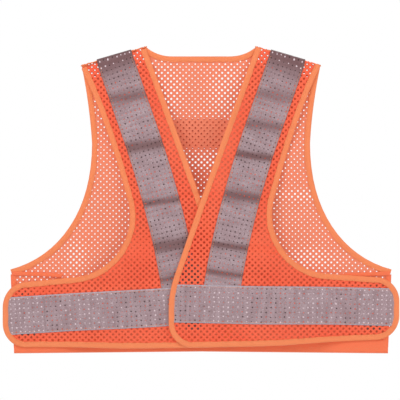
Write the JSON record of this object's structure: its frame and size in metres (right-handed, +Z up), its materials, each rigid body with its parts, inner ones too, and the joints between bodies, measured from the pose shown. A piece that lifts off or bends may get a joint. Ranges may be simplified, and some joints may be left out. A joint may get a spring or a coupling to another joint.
{
  "type": "high visibility vest",
  "caption": "Orange mesh safety vest with reflective shoulder and belt tapes, bound edges, a lapped front that swings open and side tabs that peel off.",
  "frame": {"origin": "midway between the two neck points, on the shoulder line that a hanger or the wearer's shoulders hold", "axes": "+Z up, +X to the wearer's left, the wearer faces -Y"},
  "size_m": [0.634, 0.0508, 0.4908],
  "materials": {
    "mesh": "open knitted polyester mesh",
    "binding": "soft woven edge tape",
    "tape": "perforated retroreflective tape, satin",
    "hook_loop": "hook and loop pile"
  },
  "bodies": {
    "back": {"back_panel": "mesh", "back_neck_binding": "binding", "left_back_armhole_binding": "binding", "right_back_armhole_binding": "binding", "left_back_side_binding": "binding", "right_back_side_binding": "binding", "back_hem_binding": "binding", "back_neck_patch": "mesh", "back_belt_tape": "tape", "left_back_shoulder_tape": "tape", "right_back_shoulder_tape": "tape", "left_side_loop_patch": "hook_loop", "right_side_loop_patch": "hook_loop", "left_shoulder_seam": "binding", "right_shoulder_seam": "binding", "left_front_yoke": "mesh", "right_front_yoke": "mesh", "left_yoke_binding": "binding", "right_yoke_binding": "binding", "left_yoke_tape": "tape", "right_yoke_tape": "tape", "left_front_side": "mesh", "right_front_side": "mesh", "left_side_binding": "binding", "right_side_binding": "binding", "left_side_tape": "tape", "right_side_tape": "tape"},
    "left_front": {"left_front_panel": "mesh", "left_front_edge_binding": "binding", "left_armhole_binding": "binding", "left_shoulder_tape": "tape", "left_belt_tape": "tape", "front_hook_patch": "hook_loop"},
    "right_front": {"right_front_panel": "mesh", "right_front_edge_binding": "binding", "right_armhole_binding": "binding", "right_shoulder_tape": "tape", "right_belt_tape": "tape", "front_loop_patch": "hook_loop"},
    "left_tab": {"left_side_tab": "mesh", "left_tab_binding": "binding", "left_tab_tape": "tape", "left_side_hook_patch": "hook_loop"},
    "right_tab": {"right_side_tab": "mesh", "right_tab_binding": "binding", "right_tab_tape": "tape", "right_side_hook_patch": "hook_loop"}
  },
  "joints": [
    {"name": "left_front_swing", "type": "hinge", "parent": "back", "child": "left_front", "pos_m": [0.088, -0.0028, 0], "axis": [-0.303, 0, 0.953], "range_deg": [0, 105]},
    {"name": "right_front_swing", "type": "hinge", "parent": "back", "child": "right_front", "pos_m": [-0.088, -0.0028, 0], "axis": [-0.303, 0, -0.953], "range_deg": [0, 69]},
    {"name": "left_tab_peel", "type": "hinge", "parent": "back", "child": "left_tab", "pos_m": [0.262, -0.0028, -0.42], "axis": [0, 0, -1], "range_deg": [0, 70]},
    {"name": "right_tab_peel", "type": "hinge", "parent": "back", "child": "right_tab", "pos_m": [-0.262, -0.0028, -0.42], "axis": [0, 0, 1], "range_deg": [0, 70]}
  ],
  "couplings": [
    {"joint": "right_front_swing", "follows": "left_front_swing", "ratio": 0.65}
  ]
}
